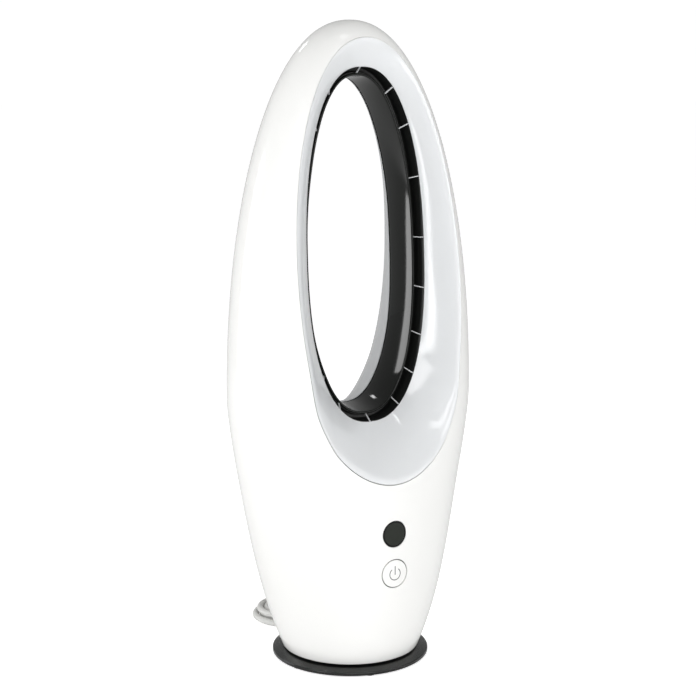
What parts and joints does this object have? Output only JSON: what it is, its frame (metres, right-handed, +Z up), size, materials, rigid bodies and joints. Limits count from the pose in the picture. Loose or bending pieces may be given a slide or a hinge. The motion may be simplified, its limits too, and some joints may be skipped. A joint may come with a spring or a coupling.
{
  "type": "bladeless fan",
  "caption": "Egg-shaped bladeless fan: a tall oval hole with an air slot round it, a dark duct lining, and a tower that swings on a flat round base.",
  "frame": {"origin": "on the floor under the axis that the tower turns about, the middle of the round base", "axes": "+Z up along the turntable's axis; -Y is the front, where the display, the button and the air outlet face; +X is on the right of a viewer who faces the front"},
  "size_m": [0.243, 0.3352, 0.6],
  "materials": {
    "shell_white": "glossy warm white",
    "bezel_grey": "glossy light grey",
    "duct_black": "glossy near-black",
    "window_black": "polished black window",
    "base_grey": "satin dark grey",
    "moulded_black": "fine moulded black",
    "rubber_black": "matt black rubber",
    "acetal_white": "natural acetal",
    "moulded_white": "moulded white",
    "steel": "plain steel",
    "brass": "plain brass",
    "board_green": "green circuit board",
    "cord_white": "satin white flexible plastic"
  },
  "bodies": {
    "base": {"base_disc": "base_grey", "base_cover": "moulded_black", "base_weight": "steel", "foot_1": "rubber_black", "foot_2": "rubber_black", "foot_3": "rubber_black", "foot_4": "rubber_black", "foot_5": "rubber_black", "foot_6": "rubber_black", "slide_ring": "acetal_white", "turntable_gear": "acetal_white", "strain_relief": "cord_white", "mains_cord": "cord_white", "cord_hank": "cord_white", "cord_end": "cord_white", "cord_tie": "moulded_black", "plug_body": "cord_white", "plug_pin_1": "brass", "plug_pin_2": "brass"},
    "tower": {"tower_floor": "moulded_white", "front_shell": "shell_white", "rear_shell": "shell_white", "intake_grille": "shell_white", "front_bezel": "bezel_grey", "rear_bezel": "bezel_grey", "inner_duct": "duct_black", "fan_housing": "moulded_black", "plenum_partition": "moulded_white", "air_guide": "moulded_black", "fan_motor": "steel", "motor_damper_lower": "rubber_black", "motor_damper_upper": "rubber_black", "oscillation_motor": "steel", "power_board": "board_green", "control_board": "board_green", "display_module": "moulded_black", "display_window": "window_black", "tact_switch": "moulded_black"},
    "impeller": {"impeller": "moulded_white", "motor_shaft": "steel", "impeller_nut": "brass"},
    "power_button": {"power_button": "shell_white"},
    "drive_pinion": {"drive_pinion": "acetal_white"}
  },
  "joints": [
    {"name": "oscillation", "type": "hinge", "parent": "base", "child": "tower", "pos_m": [0, 0, 0.012], "axis": [0, 0, 1], "range_deg": [-40, 40]},
    {"name": "impeller_spin", "type": "hinge", "parent": "tower", "child": "impeller", "pos_m": [0, 0, 0.113], "axis": [0, 0, 1], "continuous": true},
    {"name": "button_press", "type": "slide", "parent": "tower", "child": "power_button", "axis": [0, 1, 0], "range_m": [0, 0.0009], "stiffness_N_per_m": 700},
    {"name": "pinion_spin", "type": "hinge", "parent": "tower", "child": "drive_pinion", "pos_m": [0, -0.03015, 0.0237], "axis": [0, 0, 1], "range_deg": [-120, 120]}
  ],
  "couplings": [
    {"joint": "pinion_spin", "follows": "oscillation", "ratio": 3}
  ]
}
